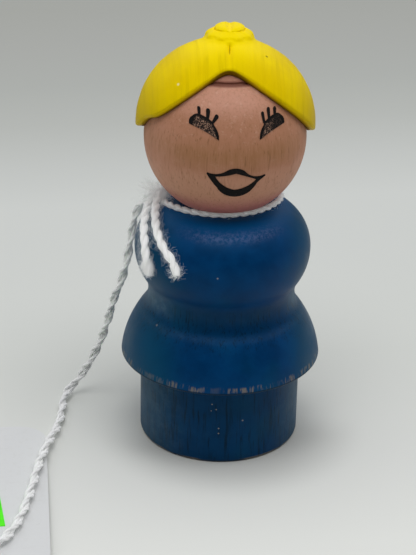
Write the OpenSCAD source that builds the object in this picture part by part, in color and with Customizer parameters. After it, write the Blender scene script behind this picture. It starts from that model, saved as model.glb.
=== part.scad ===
// Turned wooden peg doll with a ball head that turns, a moulded hair cap,
// printed eyes and mouth, and a swing tag on a string round the neck.
// Millimetres. The foot stands on z = 0, the doll's axis is Z, the face looks along -Y.

/* [Plug] */
// Radius of the straight plug that the doll stands on
plug_r = 11; // [10:0.1:11.5]
// Height of the plug from its flat foot to the hem
plug_h = 11.8; // [8:0.1:16]
// Rounding of the plug's bottom edge
plug_round = 0.5; // [0.2:0.05:1.5]
// How far the plug narrows under the hem, where the lathe's tool cleared it
plug_relief = 0.3; // [0.1:0.05:0.5]

/* [Body] */
// Radius of the hem, the widest place
hem_r = 13.65; // [12.8:0.05:15]
// Rounding of the hem's lip
hem_round = 0.4; // [0.2:0.05:0.8]
// How far the hem's underside tucks up to the plug
hem_tuck = 0.5; // [0.1:0.1:1.5]
// Radius at the top of the skirt, where the waist starts
skirt_top_r = 10.8; // [10.2:0.05:11.6]
// Height of the skirt above the hem's lip
skirt_h = 6.8; // [5:0.1:10]
// Outward bulge of the skirt
skirt_bulge = 0.5; // [0.2:0.05:1]
// Radius at the top of the waist
waist_top_r = 10.65; // [10:0.05:11.4]
// Height of the waist
waist_h = 4.6; // [3.5:0.1:7]
// Inward dip of the waist
waist_dip = 0.72; // [0.2:0.02:1.2]
// Radius of the chest, where the shoulder starts
chest_r = 11.9; // [11.5:0.05:12.6]
// Height of the chest
chest_h = 4.3; // [3:0.1:7]
// Outward bulge of the chest
chest_bulge = 0.33; // [0.1:0.01:0.7]
// Radius of the round shoulder
shoulder_round = 6.3; // [5.8:0.1:6.5]
// Radius of the short neck
neck_r = 5.3; // [4:0.1:5.3]
// Height of the neck above the shoulder
neck_h = 0.9; // [0.85:0.05:2]

/* [Head] */
// Radius of the ball head
ball_r = 10.7; // [10:0.05:11.5]
// Depth of the cap that is cut off for the flat under the head
flat_depth = 2.2; // [1.8:0.05:3]
// Gap between the neck and the head that turns on it
neck_gap = 0.05; // [0.02:0.01:0.2]
// Radius of the fine turned groove round the crown
groove_r = 0.25; // [0.1:0.05:0.4]
// Angle of the groove above the ball's middle
groove_angle = 57; // [50:1:60]

/* [Neck nail] */
// Radius of the nail that holds the head
nail_r = 1.2; // [0.8:0.05:1.8]
// Running clearance of the head round the nail
nail_gap = 0.06; // [0.02:0.01:0.1]
// Depth of the nail in the body
nail_depth = 16; // [8:0.5:20]
// Length of the nail's point
nail_point = 2.5; // [1.5:0.1:4]
// Radius of the nail's head
nail_head_r = 2.6; // [2:0.1:3.2]
// Thickness of the nail's head
nail_head_h = 0.8; // [0.5:0.1:1.2]
// Depth of the nail's seat below the top of the ball
seat_depth = 3.35; // [2.6:0.05:5]
// Clearance over and round the nail's head
seat_gap = 0.1; // [0.05:0.05:0.3]

/* [Hair cap] */
// Gap between the ball and the hair cap, filled by glue
hair_gap = 0.1; // [0.08:0.01:0.2]
// Thickness of the hair at its lower edge, at the sides and back
hair_side_t = 1.05; // [0.7:0.05:1.4]
// Thickness of the hair at its edge over the forehead
hair_peak_t = 0.9; // [0.4:0.05:1.2]
// Thickness of the hair at the crown
hair_top_t = 2.1; // [1.5:0.05:3]
// Rounding of the hair's lower edge
hair_round = 0.3; // [0.1:0.05:0.35]
// Angle of the lower edge above the ball's middle, at the sides and back
hair_edge = -1; // [-4:0.5:20]
// Angle of the fringe's arch over the forehead above the ball's middle
hair_peak = 65; // [56:0.5:68]
// Angle round the head by which the fringe's arch has come down to a third of its height
fringe_spread = 60; // [40:0.5:65]
// Angle by which the lower edge rises before it drops behind the left side of the face
side_lift = 4.5; // [0:0.5:8]
// Angle of that rise round the head, from the middle of the fringe
side_lift_at = 72; // [60:1:80]
// Half width of that rise round the head, as an angle
side_lift_spread = 8; // [6:0.5:15]
// Angle above the edge by which the hair has its full thickness
hair_swell = 60; // [30:1:70]
// Turn of the hair cap on the head, from the middle of the face
hair_turn = -6; // [-20:1:20]
// Depth of the parting
part_depth = 0.3; // [0:0.05:0.4]
// Half width of the parting
part_w = 0.45; // [0.3:0.05:1.5]

/* [Bun] */
// Radius of the bun's foot
bun_r = 3.3; // [2.6:0.1:3.6]
// Height of the bun's lower tier above the hair under its middle
bun_ring_h = 1; // [0.8:0.05:1.4]
// Radius of the bun's upper tier
bun_top_r = 1.95; // [1.4:0.05:2.1]
// Height of the whole bun above the hair under its middle
bun_h = 1.65; // [1.6:0.05:3]
// Distance of the bun's middle behind the crown
bun_back = 2; // [0:0.1:3]
// Distance of the bun's middle to the side of the crown
bun_side = 0.4; // [0:0.1:0.8]
// Depth of the lobes round the bun
bun_lobe = 0.1; // [0:0.02:0.2]
// Depth of the notch over the bun's top
notch_depth = 0.32; // [0:0.02:0.4]
// Half width of that notch
notch_w = 0.4; // [0.3:0.05:0.8]

/* [Face print] */
// Thickness of the printed ink
ink_t = 0.05; // [0.02:0.01:0.1]
// Gap between the ball and the ink
ink_gap = 0.01; // [0.005:0.005:0.02]
// Width of an eye
eye_w = 3.55; // [2.5:0.05:4]
// Height of an eye without its lashes
eye_h = 2.75; // [2:0.05:3.2]
// Angle at the ball's middle from the middle of the face to an eye's middle
eye_side_angle = 24.3; // [22:0.1:27]
// Angle at the ball's middle from the fringe's arch down to the top of the lashes
lash_under_peak = 28.9; // [27:0.1:34]
// Width of the mouth
mouth_w = 7.6; // [5:0.1:9]
// Height of the mouth
mouth_h = 4.3; // [3:0.1:5]
// Drop of the mouth's middle below the ball's middle
mouth_drop = 2.7; // [2.4:0.05:3.5]
// Tilt of the printed face
face_tilt = 1.7; // [-4:0.1:4]

/* [String] */
// Thickness of the string round the neck
string_d = 0.7; // [0.5:0.05:0.75]
// Gap between the string and the wood under it
string_gap = 0.05; // [0.03:0.01:0.1]
// Radius of the slack loop round the neck
loop_r = 8.2; // [7.8:0.1:8.6]
// Thickness of the knot
knot_d = 1.5; // [1.2:0.1:1.6]
// Thickness of the two loose tails
tail_d = 1.1; // [0.8:0.05:1.15]
// Thickness of the twisted string that runs to the tag
run_d = 1.4; // [1:0.1:1.4]
// Slack of the string loop in the tag's hole, round the card
tie_gap = 0.2; // [0.15:0.05:0.25]

/* [Tag] */
// Width of the card tag
tag_w = 24; // [18:0.5:28]
// Length of the card tag
tag_l = 37; // [30:0.5:40]
// Thickness of the card
tag_t = 0.4; // [0.2:0.05:0.5]
// Radius of the card's corners
tag_corner = 4; // [1:0.5:6]
// Radius of the hole for the string
tag_hole_r = 1.75; // [1.6:0.05:2.5]
// Distance of the hole from the card's near edge
tag_hole_in = 4; // [3.5:0.1:6]
// Width of the sticker
sticker_w = 12; // [8:0.5:14]
// Length of the sticker
sticker_l = 18; // [12:0.5:22]
// Thickness of the sticker
sticker_t = 0.1; // [0.05:0.05:0.2]
// Gap between the card and the sticker
sticker_gap = 0.01; // [0.005:0.005:0.02]

/* [Hidden] */
// Overrun of every cut
cut = 1;
round_fn = 96;
bow_steps = 9;
// Sides of a string
string_sides = 8;

// Levels up the body
lip_z = plug_h + hem_round;
waist_z = lip_z + skirt_h;
chest_z = waist_z + waist_h;
shoulder_z = chest_z + chest_h;
shoulder_in = chest_r - shoulder_round;
shoulder_top_z = shoulder_z + shoulder_round;
neck_top_z = shoulder_top_z + neck_h;

// Levels up the head
flat_z = neck_top_z + neck_gap;
ball_z = flat_z + ball_r - flat_depth;
seat_z = ball_z + ball_r - seat_depth;
// The eyes: their inner corners, with the lashes' tops under the fringe's arch
lash_top_share = 1.2;
eye_in = ball_r*sin(eye_side_angle) - eye_w/2;
eye_up = ball_r*sin(hair_peak - lash_under_peak) - lash_top_share*eye_h;

// Hair cap: radii from the ball's middle, and counts of its mesh
hair_in_r = ball_r + hair_gap;
hair_top_r = hair_in_r + hair_top_t;
hair_columns = 80;
inner_rings = 10;
lip_rings = 3;
outer_rings = 12;
// Power of the fringe's bell-shaped fall
fringe_power = 2;
// Crowding of the mesh columns towards the parting, in degrees
column_crowd = 25;
// The bun's axis from the ball's middle, and two directions square to it
bun_axis = [bun_side, bun_back, sqrt(hair_top_r*hair_top_r - bun_side*bun_side - bun_back*bun_back)]/hair_top_r;
bun_right = unit(cross([0, 1, 0], bun_axis));
bun_rear = cross(bun_axis, bun_right);
bun_foot = asin(bun_r/hair_top_r);
bun_z = hair_top_r*bun_axis.z;
// Turn of the parting, which runs from the bun to the top of the arch
part_turn = atan2(-bun_side, bun_back + hair_in_r*cos(hair_peak));
// Lobes round the bun's lower tier
ring_lobes = 9;
// The bun's lower tier: shares of its radius and of its height over the foot
ring_shares = [[0.94, 0.35], [0.8, 0.8], [0.62, 1]];
// The bun's upper tier: shares of its radius and of its height
top_shares = [[1, 0.04], [0.97, 0.45], [0.83, 0.82], [0.55, 1]];

// Printed lid of an eye, from its inner corner: shares of its width, its height, and the bow to the next point
lid_shares = [[0, 0, -0.065], [0.98, 0.52, 0.01], [0.99, 0.6, 0.04], [0.87, 0.86, 0.04], [0.64, 0.99, 0.03],
    [0.24, 0.78, 0.02], [0.15, 0.61, 0.07]];
// Lashes: root and tip in shares of the eye's width and height, then the half width at root and tip
left_lash_shares = [[0.645, 0.9, 0.64, 1.21, 0.055, 0.07], [0.375, 0.82, 0.335, 1.17, 0.06, 0.09],
    [0.2, 0.72, 0.055, 0.98, 0.05, 0.085]];
right_lash_shares = [[0.605, 0.92, 0.615, 1.17, 0.06, 0.085], [0.37, 0.84, 0.36, 1.2, 0.06, 0.085],
    [0.175, 0.7, 0.125, 1.08, 0.055, 0.075]];
// Mouth, from its middle: shares of its width, its height, and the bow to the next point
mouth_shares = [[-0.5, 0.27, 0.01], [-0.32, -0.16, 0.08], [-0.02, -0.5, 0.06], [0.26, -0.3, 0.01],
    [0.36, -0.01, -0.01], [0.5, 0.2, 0.01], [0.48, 0.24, -0.105], [0.13, 0.41, 0.1], [-0.2, 0.39, -0.06],
    [-0.49, 0.32, 0.01]];
lip_gap_shares = [[-0.36, 0.21, 0.08], [-0.02, -0.24, 0.07], [0.34, 0.11, 0.012], [-0.02, 0.335, -0.02]];
// Offset of the mouth's middle to the side, as a share of its width
mouth_side_share = -0.02;

// Route of the loop round the neck: it lies on the shoulder and touches the neck at the front
string_r = string_d/2;
string_lift = string_r + string_gap;
loop_back = loop_r - neck_r - string_lift;
loop_rings = 30;
tie_rings = 12;

// Routes of the free strings
knot_points = [[-8.4, 2.3, 34.8], [-8.7, 1.2, 34.6], [-9.1, 1.8, 34.2]];
tail_left_points = [[-9.5, 1.8, 34.1], [-10, 1.1, 33.6], [-10.5, -0.3, 33], [-10.9, -1.8, 32.4],
    [-11.1, -3.3, 31.6], [-11.2, -4.6, 30.7], [-11.2, -5.5, 29.6], [-11.1, -6.1, 28.3], [-10.9, -6.4, 27]];
tail_right_points = [[-8.8, 1, 34.5], [-9.1, 0, 34.1], [-9.4, -1.5, 33.8], [-9.6, -3.3, 33.4],
    [-9.7, -5, 32.7], [-9.5, -6.3, 32], [-9.2, -7.4, 31.3], [-8.7, -8.4, 30.6], [-8.1, -9.3, 29.8],
    [-7.7, -10.1, 28.3]];
run_points = [[-9.1, 2.2, 34.6], [-9.9, 3.6, 33.4], [-10.7, 4.6, 32], [-11.3, 5, 30.4], [-11.6, 5.2, 28.5],
    [-11.9, 5.4, 26.4], [-12.4, 5.6, 23.2], [-13.1, 6, 20.2], [-14, 6.8, 17.2], [-14.9, 7.8, 13],
    [-15.9, 9, 9], [-17.4, 10, 5.2], [-19, 10.4, 2.4], [-20.3, 9.8, 1.2], [-21.1, 8.3, 0.8],
    [-21.5, 6.2, 0.8], [-22, 3.2, 0.8], [-22.8, 0, 0.9], [-24, -3.6, 1.2], [-25.2, -7.4, 1.5],
    [-26.3, -11.4, 1.6], [-27.3, -15.8, 1.7], [-28.4, -20.2, 1.8], [-29.6, -24.2, 1.9], [-31.2, -27.8, 2.1],
    [-33.5, -30.6, 2.2], [-35.9, -32.3, 2.2], [-38.2, -33, 2.1]];

// Place of the tag: the middle of its far edge, its turn, and its tilt on the string under it
tag_at = [-36.3, 2, 0];
tag_turn = -3.3;
tag_tilt = -1.6;
tag_hole_y = tag_hole_in - tag_l;
// The sticker's near right corner on the card, and its turn there
sticker_at = [6.4, -26.1];
sticker_turn = 5.8;

// Points on the arc from a to b, without a, that bows out to the right by sag
function bow(a, b, sag) = let(
    chord = norm(b - a),
    radius = (chord*chord/4 + sag*sag)/(2*abs(sag)),
    along = (b - a)/chord,
    side = [along.y, -along.x]*sign(sag),
    centre = (a + b)/2 - side*(radius - abs(sag)),
    start = atan2(a.y - centre.y, a.x - centre.x),
    end = atan2(b.y - centre.y, b.x - centre.x),
    sweep = (end - start + 540) % 360 - 180)
    [for (i = [1 : bow_steps]) centre + radius*[cos(start + sweep*i/bow_steps), sin(start + sweep*i/bow_steps)]];

// Points of a quarter circle about a centre, from one angle to another
function quarter(centre, radius, from, to, steps = bow_steps) =
    [for (i = [0 : steps]) centre + radius*[cos(from + (to - from)*i/steps), sin(from + (to - from)*i/steps)]];

// Closed outline through share points, with a bow after each
function bowed(shares, size) = [for (i = [0 : len(shares) - 1]) let(
    a = shares[i],
    b = shares[(i + 1) % len(shares)])
    each bow([a.x*size.x, a.y*size.y], [b.x*size.x, b.y*size.y], a.z*size.y)];

body_outline = concat(
    [[0, 0]],
    quarter([plug_r - plug_round, plug_round], plug_round, -90, 0, 4),
    [[plug_r, plug_h - plug_relief], [plug_r - plug_relief, plug_h + hem_tuck]],
    quarter([hem_r - hem_round, lip_z], hem_round, -90, 0, 4),
    bow([hem_r, lip_z], [skirt_top_r, waist_z], skirt_bulge),
    bow([skirt_top_r, waist_z], [waist_top_r, chest_z], -waist_dip),
    bow([waist_top_r, chest_z], [chest_r, shoulder_z], chest_bulge),
    quarter([shoulder_in, shoulder_z], shoulder_round, 90/16, 90, 15),
    [[neck_r, shoulder_top_z], [neck_r, neck_top_z], [0, neck_top_z]]);

module body() {
    color("midnightblue")
    difference() {
        rotate_extrude($fn = round_fn) polygon(body_outline);
        nail_shank();
    }
}

// The nail's shank and point, which the body's hole follows
module nail_shank() {
    tip_z = neck_top_z - nail_depth;
    rotate_extrude($fn = round_fn)
        polygon([[0, tip_z], [nail_r, tip_z + nail_point], [nail_r, seat_z + seat_gap], [0, seat_z + seat_gap]]);
}

module neck_nail() {
    color("silver")
    union() {
        nail_shank();
        translate([0, 0, seat_z + seat_gap/2]) cylinder(h = nail_head_h, r = nail_head_r, $fn = round_fn);
    }
}

module head() {
    color("burlywood")
    difference() {
        translate([0, 0, ball_z]) sphere(r = ball_r, $fn = round_fn);
        translate([0, 0, flat_z - ball_r]) cylinder(h = ball_r, r = ball_r, $fn = round_fn);
        translate([0, 0, flat_z - cut]) cylinder(h = seat_z - flat_z + 2*cut, r = nail_r + nail_gap, $fn = round_fn);
        translate([0, 0, seat_z]) cylinder(h = seat_depth + cut, r = nail_head_r + seat_gap, $fn = round_fn);
        translate([0, 0, ball_z]) rotate_extrude($fn = round_fn)
            translate(ball_r*[cos(groove_angle), sin(groove_angle)]) circle(r = groove_r, $fn = 24);
    }
}

// Share of the fringe's arch that is left at an azimuth from its middle
function fringe_at(azimuth) = exp(-pow(abs(azimuth)/fringe_spread, fringe_power));

// Direction from the ball's middle, at an angle from the bun's axis and round it from the front
function heading(away, round) =
    cos(away)*bun_axis + sin(away)*(sin(round)*bun_right - cos(round)*bun_rear);

// Azimuth of a direction from the middle of the fringe
function azimuth_of(way) = atan2(way.x, -way.y);

// Angle of a direction above the hair's lower edge
function over_edge(way) = let(azimuth = azimuth_of(way))
    asin(way.z) - hair_edge - (hair_peak - hair_edge)*fringe_at(azimuth)
    - side_lift*exp(-pow((azimuth + side_lift_at)/side_lift_spread, 2));

// Angle from the bun's axis at which a column meets the lower edge, found by halving
function edge_away(round, near = 0, far = 120, halvings = 16) = let(middle = (near + far)/2)
    halvings == 0 ? middle
    : over_edge(heading(middle, round)) > 0 ? edge_away(round, middle, far, halvings - 1)
    : edge_away(round, near, middle, halvings - 1);

// Thickness of the hair at its edge, where a column meets it
function edge_t(way) = hair_side_t + (hair_peak_t - hair_side_t)*fringe_at(azimuth_of(way));

// Outer radius of the hair at an angle from the bun's axis, less the parting at the front
function hair_r_at(away, round, last, t_edge) = let(
    swell = sin(90*min(1, (last - away)/min(hair_swell, last - bun_foot))),
    rim = min(1, (last - away)*PI/180*hair_in_r/hair_round),
    off = hair_top_r*sin(away)*sin(round - part_turn)/part_w,
    parting = cos(round - part_turn) > 0 ? part_depth*exp(-off*off) : 0)
    hair_in_r + t_edge - hair_round*(1 - sqrt(rim*(2 - rim))) + (hair_top_t - t_edge)*swell
        - (away > bun_foot ? parting*sqrt(swell) : 0);

// One column of the hair's section, from under the bun round the lower edge and up to the bun's top
function hair_column(round) = let(
    last = edge_away(round),
    t_edge = edge_t(heading(last, round)),
    rim_angle = hair_round/hair_in_r*180/PI,
    foot_z = hair_top_r*heading(bun_foot, round).z,
    wave = 1 - bun_lobe/bun_r*cos(ring_lobes*(round - part_turn)),
    level = [sin(round), -cos(round)])
    concat(
        [for (i = [1 : inner_rings]) hair_in_r*heading(last*i/inner_rings, round)],
        [for (i = [0 : lip_rings]) let(away = last - rim_angle*(1 - cos(90*i/lip_rings)))
            hair_r_at(away, round, last, t_edge)*heading(away, round)],
        [for (i = [1 : outer_rings]) let(away = last - rim_angle - (last - rim_angle - bun_foot)*i/outer_rings)
            hair_r_at(away, round, last, t_edge)*heading(away, round)],
        [for (s = ring_shares) bun_point(s.x*bun_r*wave*level, foot_z + s.y*(bun_z + bun_ring_h - foot_z))],
        [for (s = top_shares) bun_point(s.x*bun_top_r*level, bun_z + bun_ring_h + s.y*(bun_h - bun_ring_h)
            - s.y*s.y*notch_depth*exp(-pow(s.x*bun_top_r*sin(round - part_turn)/notch_w, 2)))]);

// Point of the bun, at a place from its middle and a height over the ball's middle
function bun_point(place, z) = [bun_side + place.x, bun_back + place.y, z];

// Direction of a column round the bun's axis, crowded towards the parting
function column_round(i) = let(even = 360*i/hair_columns) part_turn + even - column_crowd*sin(even);

module hair_cap() {
    columns = [for (i = [0 : hair_columns - 1]) hair_column(column_round(i))];
    rings = len(columns[0]);
    points = concat(
        [for (column = columns) each column],
        [hair_in_r*bun_axis, bun_point([0, 0], bun_z + bun_h - notch_depth)]);
    inner_pole = hair_columns*rings;
    outer_pole = inner_pole + 1;
    faces = [for (i = [0 : hair_columns - 1]) let(a = i*rings, b = ((i + 1) % hair_columns)*rings)
        each concat(
            [[inner_pole, a, b]],
            [for (j = [0 : rings - 2]) each [[a + j, a + j + 1, b + j + 1], [a + j, b + j + 1, b + j]]],
            [[outer_pole, b + rings - 1, a + rings - 1]])];
    color("gold") translate([0, 0, ball_z]) rotate([0, 0, hair_turn]) polyhedron(points, faces);
}

// Ink on the front of the ball, in the shape of the 2D outline given
module ink() {
    color([0.05, 0.05, 0.05])
    translate([0, 0, ball_z])
    intersection() {
        difference() {
            sphere(r = ball_r + ink_gap + ink_t, $fn = round_fn);
            sphere(r = ball_r + ink_gap, $fn = round_fn);
        }
        rotate([0, face_tilt, 0]) rotate([90, 0, 0]) linear_extrude(height = ball_r + cut) children();
    }
}

// A tapered stroke with a round tip
module lash(root, tip, root_half, tip_half) {
    along = tip - root;
    lean = atan2(along.y, along.x);
    side = [along.y, -along.x]/norm(along);
    polygon(concat([root - side*root_half, root + side*root_half], quarter(tip, tip_half, lean - 90, lean + 90, 6)));
}

module eye(lash_shares) {
    translate([eye_in, eye_up]) union() {
        polygon(bowed(lid_shares, [eye_w, eye_h]));
        for (s = lash_shares)
            lash([s[0]*eye_w, s[1]*eye_h], [s[2]*eye_w, s[3]*eye_h], s[4]*eye_h, s[5]*eye_h);
    }
}

module eye_print_left() {
    ink() mirror([1, 0]) eye(left_lash_shares);
}

module eye_print_right() {
    ink() eye(right_lash_shares);
}

module mouth_print() {
    ink() translate([mouth_side_share*mouth_w, -mouth_drop]) difference() {
        polygon(bowed(mouth_shares, [mouth_w, mouth_h]));
        polygon(bowed(lip_gap_shares, [mouth_w, mouth_h]));
    }
}

function unit(v) = v/norm(v);

// A tube of the string's sides through the route's points; across gives the side its first corner faces
module tube(route, diameter, across, closed = false) {
    count = len(route);
    points = [for (i = [0 : count - 1]) let(
        before = closed ? route[(i + count - 1) % count] : route[max(i - 1, 0)],
        after = closed ? route[(i + 1) % count] : route[min(i + 1, count - 1)],
        along = unit(after - before),
        side = unit(cross(along, across)),
        up = cross(side, along))
        for (k = [0 : string_sides - 1]) let(turn = 360*(k + 0.5)/string_sides)
            route[i] + diameter/2*(cos(turn)*side + sin(turn)*up)];
    last = closed ? count - 1 : count - 2;
    walls = [for (i = [0 : last]) for (k = [0 : string_sides - 1]) let(
        a = i*string_sides,
        b = ((i + 1) % count)*string_sides,
        m = (k + 1) % string_sides)
        each [[a + k, b + m, a + m], [a + k, b + k, b + m]]];
    first_end = [for (k = [1 : string_sides - 2]) [0, k, k + 1]];
    far = (count - 1)*string_sides;
    far_end = [for (k = [1 : string_sides - 2]) [far, far + k + 1, far + k]];
    polyhedron(points, closed ? walls : concat(walls, first_end, far_end));
}

// Height of the string's middle on the shoulder, at a distance from the doll's axis
function shoulder_lift_z(out) = let(over = max(0, out - shoulder_in), reach = shoulder_round + string_lift)
    shoulder_z + sqrt(reach*reach - over*over);

neck_loop_points = [for (i = [0 : loop_rings - 1]) let(
    a = 360*i/loop_rings,
    p = [loop_r*sin(a), loop_back - loop_r*cos(a)])
    [p.x, p.y, shoulder_lift_z(norm(p))]];

module neck_string() {
    color("white") tube(neck_loop_points, string_d, [0, 0, 1], closed = true);
}

module string_knot() {
    color("white") hull() for (p = knot_points) translate(p) sphere(d = knot_d, $fn = 16);
}

module string_tail_left() {
    color("white") tube(tail_left_points, tail_d, [1, 0, 0]);
}

module string_tail_right() {
    color("white") tube(tail_right_points, tail_d, [1, 0, 0]);
}

module string_run() {
    color("whitesmoke") tube(run_points, run_d, [1, 0, 0]);
}

// Puts its children on the card: the middle of the far edge is the origin and -Y points to the hole
module on_card() {
    translate(tag_at) rotate([0, 0, tag_turn]) rotate([tag_tilt, 0, 0]) children();
}

// The loop goes through the hole and round the near edge, clear of the card
tie_reach = tag_hole_in/2 + string_d;
tie_rise = tag_t/2 + string_r + tie_gap;
tie_points = [for (i = [0 : tie_rings - 1]) let(a = 360*i/tie_rings)
    [0, tag_hole_in/2 - tag_l + tie_reach*cos(a), tag_t/2 + tie_rise*sign(sin(a))*sqrt(abs(sin(a)))]];

module tag_loop() {
    color("white") on_card() tube(tie_points, string_d, [1, 0, 0], closed = true);
}

module tag() {
    color("ghostwhite") on_card() difference() {
        union() {
            translate([tag_corner - tag_w/2, -tag_l, 0]) cube([tag_w - 2*tag_corner, tag_l, tag_t]);
            translate([-tag_w/2, tag_corner - tag_l, 0]) cube([tag_w, tag_l - 2*tag_corner, tag_t]);
            for (x = [-1, 1], y = [tag_corner - tag_l, -tag_corner])
                translate([x*(tag_w/2 - tag_corner), y, 0]) cylinder(h = tag_t, r = tag_corner, $fn = round_fn);
        }
        translate([0, tag_hole_y, -cut]) cylinder(h = tag_t + 2*cut, r = tag_hole_r, $fn = round_fn);
    }
}

module tag_sticker() {
    color("lime") on_card() translate([sticker_at.x, sticker_at.y, tag_t + sticker_gap])
        rotate([0, 0, sticker_turn]) translate([-sticker_w, 0, 0]) cube([sticker_w, sticker_l, sticker_t]);
}

body();
neck_nail();
head();
hair_cap();
eye_print_left();
eye_print_right();
mouth_print();
neck_string();
string_knot();
string_tail_left();
string_tail_right();
string_run();
tag_loop();
tag();
tag_sticker();
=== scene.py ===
from math import acos, asin, atan2, copysign, cos, degrees, dist, hypot, pi, radians, sin, sqrt

import bpy
import numpy as np
from mathutils import Matrix, Vector


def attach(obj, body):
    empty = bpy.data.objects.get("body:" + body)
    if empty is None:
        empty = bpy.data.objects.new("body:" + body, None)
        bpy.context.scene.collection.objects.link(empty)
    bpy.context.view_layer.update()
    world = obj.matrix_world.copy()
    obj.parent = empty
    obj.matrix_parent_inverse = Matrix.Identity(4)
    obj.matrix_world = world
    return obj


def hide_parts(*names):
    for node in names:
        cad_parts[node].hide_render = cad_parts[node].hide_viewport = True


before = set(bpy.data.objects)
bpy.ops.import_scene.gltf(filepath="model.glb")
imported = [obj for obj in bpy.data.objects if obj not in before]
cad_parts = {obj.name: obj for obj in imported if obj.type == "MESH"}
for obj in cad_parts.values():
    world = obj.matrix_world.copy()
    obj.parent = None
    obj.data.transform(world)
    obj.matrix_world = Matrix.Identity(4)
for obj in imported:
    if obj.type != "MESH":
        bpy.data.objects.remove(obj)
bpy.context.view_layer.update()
mm = 0.001
scene = bpy.context.scene
print("frame loaded:", len(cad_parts), "nodes")


def newObject(name, data):
    made = bpy.data.objects.new(name, data)
    scene.collection.objects.link(made)
    return made


# Camera at the photograph's place: millimetres, degrees, and the picture's own pixels
photoCamera = {
    "place": (-38.45, -218.04, 129.1), "heading": 9.52, "pitch": 25.67, "roll": 1.20,
    "focalPixels": 1800, "pictureWidth": 416, "sensorWidth": 36,
    "nearest": 0.01, "furthest": 20,
}


def placeCamera(values):
    heading, pitch, roll = (radians(values[key]) for key in ("heading", "pitch", "roll"))
    forward = Vector((sin(heading) * cos(pitch), cos(heading) * cos(pitch), -sin(pitch)))
    level = Vector((cos(heading), -sin(heading), 0))
    rise = level.cross(forward)
    right = cos(roll) * level + sin(roll) * rise
    up = cos(roll) * rise - sin(roll) * level
    data = bpy.data.cameras.new("photoCamera")
    data.sensor_fit = "HORIZONTAL"
    data.sensor_width = values["sensorWidth"]
    data.lens = values["focalPixels"] / values["pictureWidth"] * values["sensorWidth"]
    data.clip_start, data.clip_end = values["nearest"], values["furthest"]
    turn = Matrix((right, up, -forward)).transposed().to_4x4()
    scene.camera = newObject("photoCamera", data)
    scene.camera.matrix_world = Matrix.Translation(Vector(values["place"]) * mm) @ turn


placeCamera(photoCamera)


# Node helpers, for shader trees and geometry trees alike; a colour is written as it looks, 0 to 255

def linearColour(levels):
    parts = [value / 255 for value in levels]
    return (*(p / 12.92 if p < 0.0405 else ((p + 0.055) / 1.055) ** 2.4 for p in parts), 1)


def addNode(tree, kind, inputs=None, **settings):
    node = tree.nodes.new(kind)
    for key, value in settings.items():
        setattr(node, key, value)
    for key, value in (inputs or {}).items():
        if isinstance(value, Wire):
            tree.links.new(value.socket, node.inputs[key])
        else:
            node.inputs[key].default_value = value
    return node


def add(tree, kind, inputs=None, out=0, **settings):
    return Wire(tree, addNode(tree, kind, inputs, **settings).outputs[out])


def combined(tree, x, y, z):
    return add(tree, "ShaderNodeCombineXYZ", {0: x, 1: y, 2: z})


class Wire:
    # A node's output that takes plain arithmetic: each step adds one node to its tree
    def __init__(self, tree, socket):
        self.tree, self.socket = tree, socket

    def math(self, operation, other=0.0):
        return add(self.tree, "ShaderNodeMath", {0: self, 1: other}, operation=operation)

    def __add__(self, other):
        return self.math("ADD", other)

    def __sub__(self, other):
        return self.math("SUBTRACT", other)

    def __mul__(self, other):
        return self.math("MULTIPLY", other)

    def __truediv__(self, other):
        return self.math("DIVIDE", other)

    def __abs__(self):
        return self.math("ABSOLUTE")

    def over(self, other):
        return self.math("MAXIMUM", other)

    def vector(self, operation, other, out=0):
        return add(self.tree, "ShaderNodeVectorMath", {0: self, 1: other}, out, operation=operation)

    def scaled(self, factor):
        return add(self.tree, "ShaderNodeVectorMath", {0: self, "Scale": factor}, operation="SCALE")

    def parts(self):
        node = addNode(self.tree, "ShaderNodeSeparateXYZ", {0: self})
        return [Wire(self.tree, socket) for socket in node.outputs]

    def ease(self, low, high, start=0.0, end=1.0):
        inputs = {"Value": self, "From Min": low, "From Max": high, "To Min": start, "To Max": end}
        return add(self.tree, "ShaderNodeMapRange", inputs, interpolation_type="SMOOTHSTEP")

    def band(self, low, high, soft):
        return self.ease(low - soft, low + soft) * self.ease(high - soft, high + soft, 1.0, 0.0)

    def noise(self, scale, detail=2.0, roughness=0.5):
        inputs = {"Vector": self, "Scale": scale, "Detail": detail, "Roughness": roughness}
        return add(self.tree, "ShaderNodeTexNoise", inputs)

    def mix(self, a, b):
        a, b = (value if isinstance(value, Wire) else linearColour(value) for value in (a, b))
        return add(self.tree, "ShaderNodeMix", {0: self, 6: a, 7: b}, 2, data_type="RGBA")

    def layered(self, look, *layers):
        # Lays colours over this one, each through its mask
        colour = self
        for mask, name in layers:
            colour = mask.mix(colour, look[name])
        return colour

    def group(self, group, **inputs):
        node = addNode(self.tree, "ShaderNodeGroup", {"Vector": self}, node_tree=group)
        for key, value in inputs.items():
            node.inputs[key].default_value = value
        return [Wire(self.tree, socket) for socket in node.outputs]


def newTree(name, inputs, outputs=()):
    # inputs: names by kind of socket. A shader tree puts out the values named, and a geometry tree a form
    tree = bpy.data.node_groups.new(name, "ShaderNodeTree" if outputs else "GeometryNodeTree")

    def sockets(side, kind, labels):
        for label in labels:
            tree.interface.new_socket(label, in_out=side, socket_type="NodeSocket" + kind)

    for kind, labels in inputs.items():
        sockets("INPUT", kind, labels)
    sockets("OUTPUT", *(("Float", outputs) if outputs else ("Geometry", ["Form"])))
    given = tree.nodes.new("NodeGroupInput").outputs
    return tree, {socket.name: Wire(tree, socket) for socket in given if socket.name}


# Geometry trees

def endTree(tree, geometry, finish, smooth=True):
    real = add(tree, "GeometryNodeRealizeInstances", {0: geometry})
    if smooth:
        real = add(tree, "GeometryNodeSetShadeSmooth", {0: real})
    coated = add(tree, "GeometryNodeSetMaterial", {"Geometry": real, "Material": finish})
    addNode(tree, "NodeGroupOutput", {0: coated})
    return tree


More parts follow.
